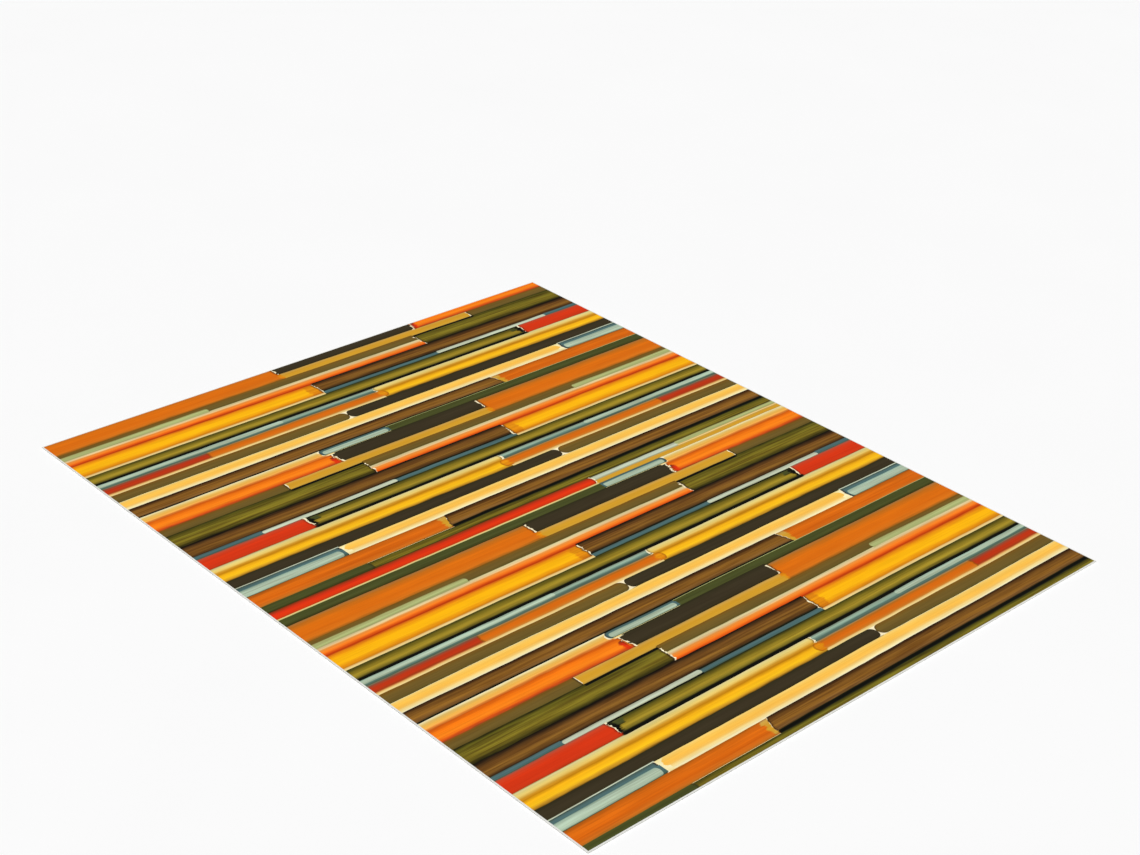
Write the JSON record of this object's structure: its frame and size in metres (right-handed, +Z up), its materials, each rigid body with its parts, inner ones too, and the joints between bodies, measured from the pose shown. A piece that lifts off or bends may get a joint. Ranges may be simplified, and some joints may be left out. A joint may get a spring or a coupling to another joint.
{
  "type": "chair mat",
  "caption": "Thin flat rectangular floor protector for an office chair: a bonded vinyl laminate with a striped printed top under a clear wear film and a non-slip underside.",
  "frame": {"origin": "middle of the underside, on the floor", "axes": "+X along the long side, +Y along the short side, +Z up from the floor to the printed top"},
  "size_m": [1.2, 1, 0.002],
  "materials": {
    "grip_backing": "matt, finely pebbled non-slip vinyl skin",
    "lower_foam": "closed-cell foamed vinyl, plain at the cut edge",
    "glass_fibre_scrim": "resin-bound glass fleece",
    "upper_foam": "white foamed vinyl, plain at the cut edge",
    "decor_print": "white film printed with long painted stripes, with a thin unprinted border on all four sides",
    "wear_film": "clear vinyl with a fine emboss and a soft satin gloss"
  },
  "bodies": {
    "root": {"grip_backing": "grip_backing", "lower_foam": "lower_foam", "glass_fibre_scrim": "glass_fibre_scrim", "upper_foam": "upper_foam", "decor_print": "decor_print", "wear_film": "wear_film"}
  },
  "joints": []
}
